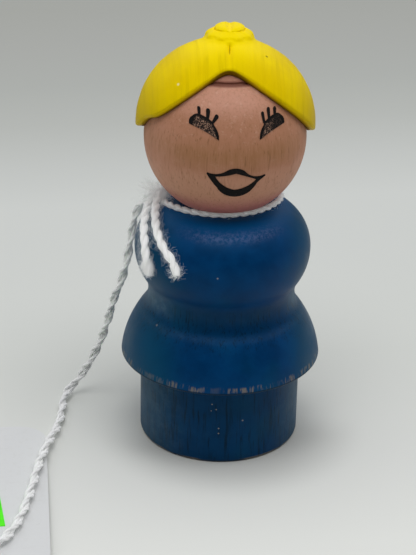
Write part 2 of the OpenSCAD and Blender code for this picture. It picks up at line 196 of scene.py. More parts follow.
def profileTurner():
    # Turns a profile once round the Z axis
    tree, given = newTree(
        "profileTurner", {"Geometry": ["Profile"], "Int": ["Steps Round"], "Material": ["Finish"]})
    count = add(tree, "GeometryNodeAttributeDomainSize", {0: given["Profile"]}, "Point Count")
    grid = add(tree, "GeometryNodeMeshGrid", {"Vertices X": given["Steps Round"] + 1, "Vertices Y": count})
    position = add(tree, "GeometryNodeInputPosition")
    across, up, _ = position.parts()
    angle = (across + 0.5) * (2 * pi)
    row = ((up + 0.5) * (count - 1)).math("ROUND")
    sample = add(tree, "GeometryNodeSampleIndex", {"Geometry": given["Profile"], "Value": position, "Index": row},
                 data_type="FLOAT_VECTOR")
    reach, _, rise = sample.parts()
    turned = combined(tree, reach * angle.math("COSINE"), reach * angle.math("SINE"), rise)
    moved = add(tree, "GeometryNodeSetPosition", {"Geometry": grid, "Position": turned})
    merged = add(tree, "GeometryNodeMergeByDistance", {"Geometry": moved, "Distance": 1e-6})
    return endTree(tree, merged, given["Finish"])


def captured(tree, geometry, label, value):
    # Keeps a value with the geometry, and gives both on
    node = addNode(tree, "GeometryNodeCaptureAttribute", {"Geometry": geometry})
    node.capture_items.new("FLOAT", label)
    tree.links.new(value.socket, node.inputs[label])
    return Wire(tree, node.outputs["Geometry"]), Wire(tree, node.outputs[label])


def twineWinder():
    # Winds a path into yarns, and each yarn into plies; the place along and round each ply stays as an attribute
    tree, given = newTree("twineWinder", {
        "Geometry": ["Path"], "Bool": ["Two Yarns"], "Material": ["Finish"],
        "Float": ["Step", "Yarn Offset", "Yarn Pitch", "Ply Offset", "Ply Pitch", "Ply Radius", "Unevenness", "Seed"]})
    length = add(tree, "GeometryNodeSplineParameter", out="Length")
    normal = add(tree, "GeometryNodeInputNormal")
    side = add(tree, "GeometryNodeInputTangent").vector("CROSS_PRODUCT", normal)

    def wound(curve, kind, phase):
        turn = length / given[kind + " Pitch"] * (2 * pi) + phase
        step = normal.scaled(turn.math("COSINE")).vector("ADD", side.scaled(turn.math("SINE")))
        return add(tree, "GeometryNodeSetPosition",
                   {"Geometry": curve, "Offset": step.scaled(given[kind + " Offset"])})

    curve = add(tree, "GeometryNodeMeshToCurve", {"Mesh": given["Path"]})
    curve = add(tree, "GeometryNodeResampleCurve", {"Curve": curve, "Length": given["Step"]}, mode="LENGTH")
    second = add(tree, "GeometryNodeSwitch", {"Switch": given["Two Yarns"], "True": curve}, input_type="GEOMETRY")
    ring = add(tree, "GeometryNodeCurvePrimitiveCircle", {"Resolution": 9, "Radius": 1.0})
    ring, around = captured(tree, ring, "Round", add(tree, "GeometryNodeSplineParameter", out="Factor"))
    join = addNode(tree, "GeometryNodeJoinGeometry")
    for yarn, base in enumerate((curve, second)):
        yarnCurve = wound(base, "Yarn", pi * yarn)
        for ply in (0, 1):
            strand = 2 * yarn + ply
            plyCurve = wound(yarnCurve, "Ply", pi * ply + 0.8 * yarn)
            plyCurve, along = captured(tree, plyCurve, "Along", length)
            seed = length * 900 + given["Seed"] + 7.3 * strand
            lumps = add(tree, "ShaderNodeTexNoise", {"W": seed, "Scale": 1.0, "Detail": 1.0}, noise_dimensions="1D")
            radius = ((lumps - 0.5) * given["Unevenness"] + 1) * given["Ply Radius"]
            tube = add(tree, "GeometryNodeCurveToMesh",
                       {"Curve": plyCurve, "Profile Curve": ring, "Scale": radius, "Fill Caps": True})
            lay = combined(tree, along, around, 0.31 * strand)
            stored = add(tree, "GeometryNodeStoreNamedAttribute", {"Geometry": tube, "Name": "twineLay", "Value": lay},
                         data_type="FLOAT_VECTOR")
            tree.links.new(stored.socket, join.inputs[0])
    return endTree(tree, Wire(tree, join.outputs[0]), given["Finish"])


def fuzzMaker():
    # Short bent fibres that stand off the surface given
    tree, given = newTree("fuzzMaker", {
        "Geometry": ["Surface"], "Float": ["Density", "Fibre Length", "Fibre Radius", "Near End"],
        "Vector": ["Lean"], "Int": ["Seed"], "Material": ["Finish"]})
    along = add(tree, "GeometryNodeInputNamedAttribute", {"Name": "twineLay"}, data_type="FLOAT_VECTOR").parts()[0]
    furthest = add(tree, "GeometryNodeAttributeStatistic", {"Geometry": given["Surface"], "Attribute": along}, "Max")
    nearEnd = add(tree, "FunctionNodeCompare", {"A": furthest - along, "B": given["Near End"]}, operation="LESS_THAN")
    spread = addNode(tree, "GeometryNodeDistributePointsOnFaces", {
        "Mesh": given["Surface"], "Selection": nearEnd, "Density": given["Density"], "Seed": given["Seed"]})
    fibre = add(tree, "GeometryNodeCurveQuadraticBezier",
                {"Resolution": 5, "Start": (0, 0, 0), "Middle": (0.45, 0.1, 0.45), "End": (0.95, -0.1, 0.3)})
    ring = add(tree, "GeometryNodeCurvePrimitiveCircle", {"Resolution": 3, "Radius": 1.0})
    thin = given["Fibre Radius"] / given["Fibre Length"]
    profile = add(tree, "GeometryNodeTransform", {"Geometry": ring, "Scale": combined(tree, thin, thin, thin)})
    body = add(tree, "GeometryNodeCurveToMesh", {"Curve": fibre, "Profile Curve": profile, "Fill Caps": True})
    facing = Wire(tree, spread.outputs["Normal"]).vector("ADD", given["Lean"])
    stand = add(tree, "FunctionNodeAlignRotationToVector", {"Vector": facing}, axis="Z")

    def drawn(low, high, seed):
        return add(tree, "FunctionNodeRandomValue", {2: low, 3: high, "Seed": seed}, 1)

    turned = add(tree, "FunctionNodeRotateRotation", {0: stand, 1: combined(tree, 0, 0, drawn(0.0, 2 * pi, 11))},
                 rotation_space="LOCAL")
    length = drawn(0.35, 1.0, 23) * given["Fibre Length"]
    placed = add(tree, "GeometryNodeInstanceOnPoints",
                 {"Points": Wire(tree, spread.outputs["Points"]), "Instance": body, "Rotation": turned,
                  "Scale": combined(tree, length, length, length)})
    return endTree(tree, placed, given["Finish"], smooth=False)


def facesOut(mesh):
    # A closed mesh whose volume comes out negative is inside out
    mesh.calc_loop_triangles()
    points = np.zeros(len(mesh.vertices) * 3)
    mesh.vertices.foreach_get("co", points)
    corners = np.zeros(len(mesh.loop_triangles) * 3, int)
    mesh.loop_triangles.foreach_get("vertices", corners)
    a, b, c = points.reshape(-1, 3)[corners.reshape(-1, 3)].swapaxes(0, 1)
    if np.einsum("ij,ij->i", a, np.cross(b, c)).sum() < 0:
        mesh.flip_normals()


def grown(name, source, tree, values):
    # Runs a geometry tree on a mesh and keeps the outcome as a plain mesh
    holder = newObject(name + "Source", source)
    modifier = holder.modifiers.new("grow", "NODES")
    modifier.node_group = tree
    sockets = {item.name: item.identifier for item in tree.interface.items_tree if item.in_out == "INPUT"}
    for label, value in values.items():
        modifier[sockets[label]] = value
    evaluated = holder.evaluated_get(bpy.context.evaluated_depsgraph_get())
    mesh = bpy.data.meshes.new_from_object(evaluated)
    holder.modifiers.remove(modifier)
    bpy.data.objects.remove(holder)
    mesh.name = name
    facesOut(mesh)
    return newObject(name, mesh)


def lineMesh(name, points, closed=False):
    count = len(points)
    mesh = bpy.data.meshes.new(name)
    mesh.from_pydata(points, [(i, (i + 1) % count) for i in range(count if closed else count - 1)], [])
    return mesh


def rounded(rows, steps):
    # A smooth way through the rows given, each row a point or a value for every column
    rows = [np.array(row, float) for row in rows]
    last = len(rows) - 1
    out = [rows[0]]
    for i in range(last):
        before, a, b, after = (rows[min(max(i + k, 0), last)] for k in (-1, 0, 1, 2))
        for step in range(1, steps + 1):
            t = step / steps
            out.append(0.5 * (2 * a + (b - before) * t + (2 * before - 5 * a + 4 * b - after) * t * t
                              + (3 * a - before - 3 * b + after) * t ** 3))
    return out


def routeLength(points):
    return float(sum(dist(a, b) for a, b in zip(points[:-1], points[1:])))


def takePlace(piece, node, body):
    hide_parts(node)
    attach(piece, body)


# Shader helpers

def newMaterial(name, roughness, **constants):
    material = bpy.data.materials.new(name)
    material.use_nodes = True
    shader = material.node_tree.nodes["Principled BSDF"]
    for key, value in {"Roughness": roughness, **constants}.items():
        shader.inputs[key.replace("_", " ")].default_value = value
    return material, shader, add(material.node_tree, "ShaderNodeTexCoord", out="Object")


def surface(shader, colour, bump=None, roughness=None):
    # bump: what it follows, its strength, and its depth in millimetres
    wires = {"Base Color": colour, "Roughness": roughness}
    if bump:
        inputs = {"Height": bump[0], "Strength": bump[1], "Distance": bump[2] * mm}
        wires["Normal"] = add(colour.tree, "ShaderNodeBump", inputs)
    for key, wire in wires.items():
        if wire:
            colour.tree.links.new(wire.socket, shader.inputs[key])


def marked(place, colour, spots, mark, strength):
    # Small single marks, each given by its place and radius in millimetres
    for x, y, z, radius in spots:
        away = place.vector("DISTANCE", (x * mm, y * mm, z * mm), 1)
        colour = away.ease(radius * mm, radius * 0.4 * mm, 0.0, strength).mix(colour, mark)
    return colour


def woodGrainGroup():
    # Grain that runs up the piece: broad streaks, and short dark pores
    tree, given = newTree(
        "woodGrain", {"Vector": ["Vector"], "Float": ["Across", "Along", "Pore Share"]}, ["Streaks", "Pores"])
    vector = given["Vector"].vector("MULTIPLY", combined(tree, given["Across"], given["Across"], given["Along"]))
    broad, fine = vector.noise(0.5, 3.0, 0.65), vector.noise(1.7)
    limit = given["Pore Share"] * -0.4 + 0.78
    addNode(tree, "NodeGroupOutput", {"Streaks": broad * 0.55 + fine * 0.45, "Pores": fine.ease(limit, limit + 0.07)})
    return tree


def speckGroup():
    # Scattered small spots of uneven size
    tree, given = newTree("looseSpecks", {"Vector": ["Vector"], "Float": ["Scale", "Share", "Size"]}, ["Specks"])
    cells = addNode(tree, "ShaderNodeTexVoronoi", {"Vector": given["Vector"], "Scale": given["Scale"]})
    pick = addNode(tree, "ShaderNodeSeparateColor", {0: Wire(tree, cells.outputs["Color"])}).outputs
    size = given["Size"] * (Wire(tree, pick[1]) + 0.35)
    inside = Wire(tree, cells.outputs["Distance"]).ease(size * 0.6, size, 1.0, 0.0)
    chosen = Wire(tree, pick[0]).math("LESS_THAN", given["Share"])
    addNode(tree, "NodeGroupOutput", {"Specks": chosen * inside})
    return tree


woodGrain, looseSpecks = woodGrainGroup(), speckGroup()
turnProfile, windTwine, growFuzz = profileTurner(), twineWinder(), fuzzMaker()

# Cotton twine: the string's colour, its fibre lay, the soft colour of its fuzz, and a painted glow on both in front of
# the doll
cottonLook = {
    "light": (254, 254, 252), "shade": (238, 239, 238), "dirt": (150, 140, 128),
    "fuzz": (250, 250, 250), "fuzzTips": (255, 255, 255),
    "fibresPerMetre": 5200, "fibresRound": 9, "slant": 420,
    "glow": 0.1, "glowY": (0.008, -0.001), "glowHigh": (0.0345, 0.0315, 0.5), "glowLow": (0.004, 0.02, 0.4),
}


def cottonSurface(name, roughness, subsurface, depth):
    return newMaterial(name, roughness, Sheen_Weight=0.5, Subsurface_Weight=subsurface,
                       Subsurface_Radius=(1.0, 1.0, 1.0), Subsurface_Scale=depth)


def paintedFrontGlow(shader, place, values):
    # Painted glow: an emission on the cotton in front of the doll, in place of the light that loose cotton scatters on
    # its lit side
    _, y, z = place.parts()
    lit = y.ease(*values["glowY"]) * z.ease(*values["glowHigh"]) * z.ease(*values["glowLow"])
    place.tree.links.new(lit.mix((0, 0, 0), values["light"]).socket, shader.inputs["Emission Color"])
    shader.inputs["Emission Strength"].default_value = values["glow"]


def cottonMaterial(values):
    material, shader, place = cottonSurface("cottonTwine", 0.92, 0.7, 0.0005)
    shader.inputs["Sheen Roughness"].default_value = 0.6
    along, around, strand = add(place.tree, "ShaderNodeAttribute", out="Vector", attribute_name="twineLay").parts()
    lean = along * values["slant"] + around
    fibre = combined(place.tree, along * (values["fibresPerMetre"] / values["fibresRound"]),
                     lean * values["fibresRound"], strand * 40)
    threads = fibre.noise(1.0, 3.0, 0.6)
    colour = threads.ease(0.3, 0.62).mix(values["shade"], values["light"])
    colour = (place.noise(900).ease(0.6, 0.85) * 0.2).mix(colour, values["dirt"])
    paintedFrontGlow(shader, place, values)
    surface(shader, colour, (threads, 0.3, 0.05))
    return material


def fuzzMaterial(values):
    material, shader, place = cottonSurface("cottonFuzz", 0.95, 0.9, 0.0003)
    paintedFrontGlow(shader, place, values)
    surface(shader, place.noise(700, 1.0).mix(values["fuzz"], values["fuzzTips"]))
    return material


cottonFinish, fuzzFinish = cottonMaterial(cottonLook), fuzzMaterial(cottonLook)

# The string: its routes in millimetres, as the solids have them
stringRoutes = {
    "run": [(-9.1, 2.2, 34.6), (-9.9, 3.6, 33.4), (-10.7, 4.6, 32), (-11.3, 5, 30.4), (-11.6, 5.2, 28.5),
            (-11.9, 5.4, 26.4), (-12.4, 5.6, 23.2), (-13.1, 6, 20.2), (-14, 6.8, 17.2), (-14.9, 7.8, 13),
            (-15.9, 9, 9), (-17.4, 10, 5.2), (-19, 10.4, 2.4), (-20.3, 9.8, 1.2), (-21.1, 8.3, 0.8),
            (-21.5, 6.2, 0.8), (-22, 3.2, 0.8), (-22.8, 0, 0.9), (-24, -3.6, 1.2), (-25.2, -7.4, 1.5),
            (-26.3, -11.4, 1.6), (-27.3, -15.8, 1.7), (-28.4, -20.2, 1.8), (-29.6, -24.2, 1.9),
            (-31.2, -27.8, 2.1), (-33.5, -30.6, 2.2), (-35.9, -32.3, 2.2), (-38.2, -33, 2.1)],
    "tailLeft": [(-9.5, 1.8, 34.1), (-10, 1.1, 33.6), (-10.5, -0.3, 33), (-10.9, -1.8, 32.4),
                 (-11.1, -3.3, 31.6), (-11.2, -4.6, 30.7), (-11.2, -5.5, 29.6), (-11.1, -6.1, 28.3),
                 (-10.9, -6.4, 27)],
    "tailRight": [(-8.8, 1, 34.5), (-9.1, 0, 34.1), (-9.4, -1.5, 33.8), (-9.6, -3.3, 33.4), (-9.7, -5, 32.7),
                  (-9.5, -6.3, 32), (-9.2, -7.4, 31.3), (-8.7, -8.4, 30.6), (-8.1, -9.3, 29.8),
                  (-7.7, -10.1, 28.3)],
}
# How it is wound: a yarn's offset and pitch, and a ply's offset, pitch and radius
stringWind = {
    "runYarn": (0.3, 7.2), "runPly": (0.12, 3.4, 0.22), "tailPly": (0.21, 3.6, 0.37),
    "loopPly": (0.15, 2.7, 0.29), "knotPly": (0.15, 2.7, 0.3045), "step": 0.12, "unevenness": 0.35,
}
neckLoop = {"radius": 8.2, "back": 2.5, "shoulderIn": 5.6, "shoulderZ": 27.9, "reach": 6.7, "points": 120}
tieLoop = {"at": (-36.3, 2, 0), "turn": -3.3, "tilt": -1.6, "middle": -35, "reach": 2.7, "rise": 0.75,
           "lift": 0.2, "points": 48}
# The knot: one strand through three lobes, lying flat on the shoulder
knotLook = {"middle": (-8.8, 1.7, 34.5), "upwards": (-0.51, 0.10, 0.85), "size": 0.25, "points": 90}


def metres(points):
    return [tuple(float(c) * mm for c in p) for p in points]


def turns(count):
    return [2 * pi * i / count for i in range(count)]


def neckRoute(values):
    route = []
    for angle in turns(values["points"]):
        x, y = values["radius"] * sin(angle), values["back"] - values["radius"] * cos(angle)
        over = max(0, hypot(x, y) - values["shoulderIn"])
        route.append((x, y, values["shoulderZ"] + sqrt(values["reach"] ** 2 - over ** 2)))
    return route


def tieRoute(values):
    turn = Matrix.Rotation(radians(values["turn"]), 4, "Z") @ Matrix.Rotation(radians(values["tilt"]), 4, "X")
    route = []
    for angle in turns(values["points"]):
        rise = values["rise"] * copysign(sqrt(abs(sin(angle))), sin(angle))
        point = (0, values["middle"] + values["reach"] * cos(angle), values["lift"] + rise)
        route.append(Vector(values["at"]) + turn @ Vector(point))
    return route


def knotRoute(values):
    turn = Vector(values["upwards"]).normalized().to_track_quat("Z", "Y").to_matrix()
    route = []
    for t in turns(values["points"]):
        lobe = Vector((sin(t) + 2 * sin(2 * t), cos(t) - 2 * cos(2 * t), -sin(3 * t)))
        route.append(Vector(values["middle"]) + turn @ (lobe * values["size"]))
    return route


def woundString(name, route, ply, seed, yarn=None, closed=False):
    points = metres(route)
    offset, pitch, radius = (value * mm for value in ply)
    if closed:
        total = routeLength(points + points[:1])
        pitch = total / round(total / pitch)
    yarnOffset, yarnPitch = yarn or (0.0, 5.0)
    return grown(name, lineMesh(name + "Path", points, closed), windTwine, {
        "Step": stringWind["step"] * mm, "Two Yarns": bool(yarn), "Yarn Offset": yarnOffset * mm,
        "Yarn Pitch": yarnPitch * mm, "Ply Offset": offset, "Ply Pitch": pitch, "Ply Radius": radius,
        "Unevenness": stringWind["unevenness"], "Seed": seed, "Finish": cottonFinish})


stringPieces = {
    # piece: the node that it stands for, its route, its ply, its seed, then its yarn and whether it is closed
    "stringRun": ("string_run", rounded(stringRoutes["run"], 10), stringWind["runPly"], 1.5, stringWind["runYarn"]),
    "neckString": ("neck_string", neckRoute(neckLoop), stringWind["loopPly"], 4.0, None, True),
    "tagLoop": ("tag_loop", tieRoute(tieLoop), stringWind["loopPly"], 9.0, None, True),
    "stringTailLeft": ("string_tail_left", rounded(stringRoutes["tailLeft"], 10), stringWind["tailPly"], 13.0),
    "stringTailRight": ("string_tail_right", rounded(stringRoutes["tailRight"], 10), stringWind["tailPly"], 17.0),
    "stringKnot": ("string_knot", knotRoute(knotLook), stringWind["knotPly"], 21.0, None, True),
}
strings = {name: woundString(name, *values[1:]) for name, values in stringPieces.items()}
print("string wound:", sum(len(piece.data.polygons) for piece in strings.values()), "faces")

# Loose fibres: the string they stand on, how many to the square millimetre, their length and radius, how far
# from the string's end they go, the seed, and which way they lean
fuzzLook = {
    "runFuzz": ("stringRun", 4.0, 0.9, 0.008, 1000, 3),
    "loopFuzz": ("neckString", 4.0, 0.7, 0.008, 1000, 5),
    "tieFuzz": ("tagLoop", 4.0, 0.8, 0.008, 1000, 6),
    "knotFuzz": ("stringKnot", 38.0, 2.9, 0.009, 1000, 7, (0.8, -0.55, 0.25)),
    "tailLeftFuzz": ("stringTailLeft", 14.0, 1.3, 0.008, 1000, 8),
    "tailRightFuzz": ("stringTailRight", 14.0, 1.4, 0.008, 1000, 9),
    "tailLeftFray": ("stringTailLeft", 120.0, 0.9, 0.012, 1.9, 12, (0.35, -0.3, -0.15)),
    "tailRightFray": ("stringTailRight", 45.0, 1.1, 0.01, 0.9, 14, (0.8, -0.4, -1.2)),
}


def growFibres(name, source, density, length, radius, nearEnd, seed, lean=(0, 0, 0)):
    return grown(name, strings[source].data.copy(), growFuzz, {
        "Density": density * 1e6, "Fibre Length": length * mm, "Fibre Radius": radius * mm, "Lean": lean,
        "Near End": nearEnd * mm, "Seed": seed, "Finish": fuzzFinish})


fuzz = [growFibres(name, *values) for name, values in fuzzLook.items()]
print("fuzz grown:", sum(len(piece.data.polygons) for piece in fuzz), "faces")

for name, piece in strings.items():
    takePlace(piece, stringPieces[name][0], "body")
for piece in fuzz:
    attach(piece, "body")

# Floor: one wide sheet whose grey is painted darker behind the doll, for the falloff of the light
floorLook = {
    "size": 3.0, "roughness": 0.75,
    # each grey with its place in depth, in metres
    "greys": [(-0.032, (228, 229, 224)), (-0.0127, (221, 222, 218)), (0.0185, (211, 213, 208)),
              (0.0614, (210, 212, 208)), (0.079, (210, 212, 208)), (0.098, (201, 203, 199)),
              (0.1195, (189, 191, 186)), (0.143, (181, 183, 178)), (0.17, (178, 179, 174)),
              (0.197, (175, 176, 170))],
    "shadeMiddle": (0.0012, -0.0012, 0), "shadeReach": (0.02, 0.0105, 0.0, 0.28), "shadeFront": (0.001, -0.007, 0.1),
}


def floorMaterial(values):
    material, shader, place = newMaterial("plainFloor", values["roughness"], Specular_IOR_Level=0.15)
    depth = place.parts()[1]
    low, high = values["greys"][0][0], values["greys"][-1][0]
    share = add(place.tree, "ShaderNodeMapRange", {"Value": depth, "From Min": low, "From Max": high})
    ramp = addNode(place.tree, "ShaderNodeValToRGB", {0: share})
    stops = ramp.color_ramp.elements
    for i, (where, grey) in enumerate(values["greys"]):
        stop = stops[i] if i < 2 else stops.new((where - low) / (high - low))
        stop.position = (where - low) / (high - low)
        stop.color = linearColour(grey)
    # painted contact shadow: the floor darker close to the foot, most in front of it
    away = place.vector("DISTANCE", values["shadeMiddle"], 1)
    close = away.ease(*values["shadeReach"]) * depth.ease(*values["shadeFront"])
    surface(shader, close.mix(Wire(place.tree, ramp.outputs[0]), (0, 0, 0)))
    return material


def layFloor(values):
    half = values["size"]
    mesh = bpy.data.meshes.new("floor")
    mesh.from_pydata([(-half, -half, 0), (half, -half, 0), (half, half, 0), (-half, half, 0)], [], [(0, 1, 2, 3)])
    mesh.materials.append(floorMaterial(values))
    newObject("floor", mesh)


layFloor(floorLook)

# Light: one soft panel overhead, and an even pale surround
lightLook = {
    "place": (0.02, -0.28, 0.83), "aim": (0, 0, 0.03), "size": (0.8, 0.4), "power": 3.8,
    # the surround: where it changes, and how bright it is at either end
    "upwards": (0.0, 0.9, 0.3, 0.95), "frontwards": (-0.1, -0.75, 1.0, 0.04),
    "surround": (240, 242, 245), "backdrop": (164, 165, 160),
}


def placeLights(values):
    panel = bpy.data.lights.new("overheadPanel", "AREA")
    panel.shape = "RECTANGLE"
    panel.size, panel.size_y = values["size"]
    panel.energy = values["power"]
    lamp = newObject("overheadPanel", panel)
    lamp.location = values["place"]
    lamp.rotation_euler = (Vector(values["aim"]) - Vector(values["place"])).to_track_quat("-Z", "Y").to_euler()
    world = scene.world = bpy.data.worlds.new("paleSurround")
    world.use_nodes = True
    tree = world.node_tree
    tree.nodes.clear()
    # bright above, pale all round, and dim on the side where the photographer stood
    _, front, up = add(tree, "ShaderNodeTexCoord", out="Generated").parts()
    strength = up.ease(*values["upwards"]) * front.ease(*values["frontwards"])
    even = add(tree, "ShaderNodeBackground", {"Color": linearColour(values["surround"]), "Strength": strength})
    seen = add(tree, "ShaderNodeBackground", {"Color": linearColour(values["backdrop"]), "Strength": 1.0})
    blend = add(tree, "ShaderNodeMixShader",
                {0: add(tree, "ShaderNodeLightPath", out="Is Camera Ray"), 1: even, 2: seen})
    addNode(tree, "ShaderNodeOutputWorld", {0: blend})


placeLights(lightLook)
scene.view_settings.view_transform = "Standard"
print("floor and light placed")


# Turned pieces: the same arcs as the solids, in finer steps

def arc(centre, radius, fromAngle, toAngle, steps=12):
    angles = [radians(fromAngle + (toAngle - fromAngle) * i / steps) for i in range(steps + 1)]
    return [(centre[0] + radius * cos(t), centre[1] + radius * sin(t)) for t in angles]


def bow(a, b, sag, steps=20):
    # An arc from a to b that stands off their chord by the sag
    a, b = np.array(a, float), np.array(b, float)
    chord = np.linalg.norm(b - a)
    radius = (chord * chord / 4 + sag * sag) / (2 * abs(sag))
    along = (b - a) / chord
    side = np.array([along[1], -along[0]]) * copysign(1, sag)
    centre = (a + b) / 2 - side * (radius - abs(sag))
    start = degrees(atan2(*(a - centre)[::-1]))
    sweep = (degrees(atan2(*(b - centre)[::-1])) - start + 540) % 360 - 180
    return arc(centre, radius, start, start + sweep, steps)[1:]


def heldCorners(profile, hold=0.03, turnLimit=18):
    # Adds a point close to each side of a corner, so that it shades crisp
    out = []
    closed = profile[0] == profile[-1]
    last = len(profile) - 1
    for i, point in enumerate(profile):
        here = np.array(point, float)
        back = here - np.array(profile[i - 1] if i else profile[-2], float)
        ahead = np.array(profile[i + 1] if i < last else profile[1], float) - here
        lengths = np.linalg.norm(back), np.linalg.norm(ahead)
        corner = False
        if (closed or i not in (0, last)) and min(lengths) > 1e-9:
            bend = max(-1, min(1, float(back @ ahead) / lengths[0] / lengths[1]))
            corner = degrees(acos(bend)) > turnLimit
        if corner and i:
            out.append(tuple(here - back / lengths[0] * min(hold, lengths[0] / 3)))
        out.append(tuple(here))
        if corner and i < last:
            out.append(tuple(here + ahead / lengths[1] * min(hold, lengths[1] / 3)))
    return out


def turnedPiece(name, profile, finish, steps):
    mesh = lineMesh(name + "Profile", [(p[0] * mm, 0, p[1] * mm) for p in profile])
    return grown(name, mesh, turnProfile, {"Steps Round": steps, "Finish": finish})


bodyForm = {
    "plugRadius": 11, "plugHeight": 11.8, "plugRound": 0.5, "plugRelief": 0.3,
    "hemRadius": 13.65, "hemRound": 0.4, "hemTuck": 0.5, "lipZ": 12.2,
    "skirtTop": (10.8, 19.0), "skirtBulge": 0.5, "waistTop": (10.65, 23.6), "waistDip": 0.72,
    "chest": (11.9, 27.9), "chestBulge": 0.33, "shoulderIn": 5.6, "shoulderRound": 6.3,
    "neckRadius": 5.3, "neckTop": 35.1, "boreRadius": 1.2, "boreTip": 19.1, "borePoint": 2.5, "steps": 224,
}


def bodyProfile(form):
    r, h, relief = form["plugRadius"], form["plugHeight"], form["plugRelief"]
    hem, lip, roundness = form["hemRadius"], form["lipZ"], form["hemRound"]
    shoulderZ, shoulderRound = form["chest"][1], form["shoulderRound"]
    return heldCorners(
        [(0, 0), (5, 0), (9, 0)] + arc((r - form["plugRound"], form["plugRound"]), form["plugRound"], -90, 0)
        + [(r, z) for z in np.linspace(2, h - relief - 0.5, 8)] + [(r, h - relief), (r - relief, h + form["hemTuck"])]
        + arc((hem - roundness, lip), roundness, -90, 0)
        + bow((hem, lip), form["skirtTop"], form["skirtBulge"])
        + bow(form["skirtTop"], form["waistTop"], -form["waistDip"])
        + bow(form["waistTop"], form["chest"], form["chestBulge"])
        + arc((form["shoulderIn"], shoulderZ), shoulderRound, 3, 90, 29)
        + [(form["neckRadius"], shoulderZ + shoulderRound), (form["neckRadius"], form["neckTop"]),
           (form["boreRadius"], form["neckTop"]), (form["boreRadius"], form["boreTip"] + form["borePoint"]),
           (0, form["boreTip"])])


# Blue satin paint over wood. A zone is a range of heights and a side one of distances from the middle, in
# millimetres; where two more numbers follow, they are the strengths at its ends
paintLook = {
    "paint": (0, 57, 105), "deep": (0, 46, 88), "plug": (0, 48, 72), "shadow": (0, 36, 54), "tealAndReflection": (0, 66, 92),
    "dustAndHighlight": (104, 130, 146), "darkGrainAndShade": (4, 28, 44), "pore": (4, 12, 20), "neck": (0, 84, 140),
    "wood": (150, 134, 106), "sheen": (92, 104, 146), "paleWood": (196, 186, 164), "roughness": 0.42,
    "reflectionTintSide": (6, 11, 0.0, 0.7), "plugZone": (12.4, 11.4), "waistZone": (17.6, 22.0, 1.2),
    "shadeZone": (19.0, 22.6, 0.7), "shadeSide": (9.5, 4.0, 0.0, 0.55), "dustZone": (20.4, 22.8, 1.0),
    "dustSide": (7.0, 10.5, 0.04, 0.75), "skirtHighlightZone": (18.3, 19.0, 0.4), "plugSide": (5, 10.8, 0.02, 0.24),
    "neckLightZone": (32.4, 34.0, 0.0, 0.6), "shoulderHighlightZone": (32.4, 33.3, 0.5), "shoulderHighlightSide": (8.0, 3.5, 0.0, 0.5),
    "front": (0.002, -0.006), "lipZone": (12.5, 13.3, 0.2), "footZone": (0.55, 0.2),
    "shadeUnderHem": (10.4, 12.1, 0.0, 0.7), "hemEdge": (12.3, 12.15),
    # pale nicks: place and radius
    "nicks": [(-2.75, -10.65, 9.07, 0.13), (-2.19, -10.78, 8.3, 0.13), (-2.85, -10.63, 8.06, 0.1),
              (1.44, -10.91, 6.43, 0.16), (-1.82, -10.85, 5.38, 0.14), (-1.82, -10.85, 4.6, 0.14),
              (-2.57, -11.61, 28.26, 0.15)],
}


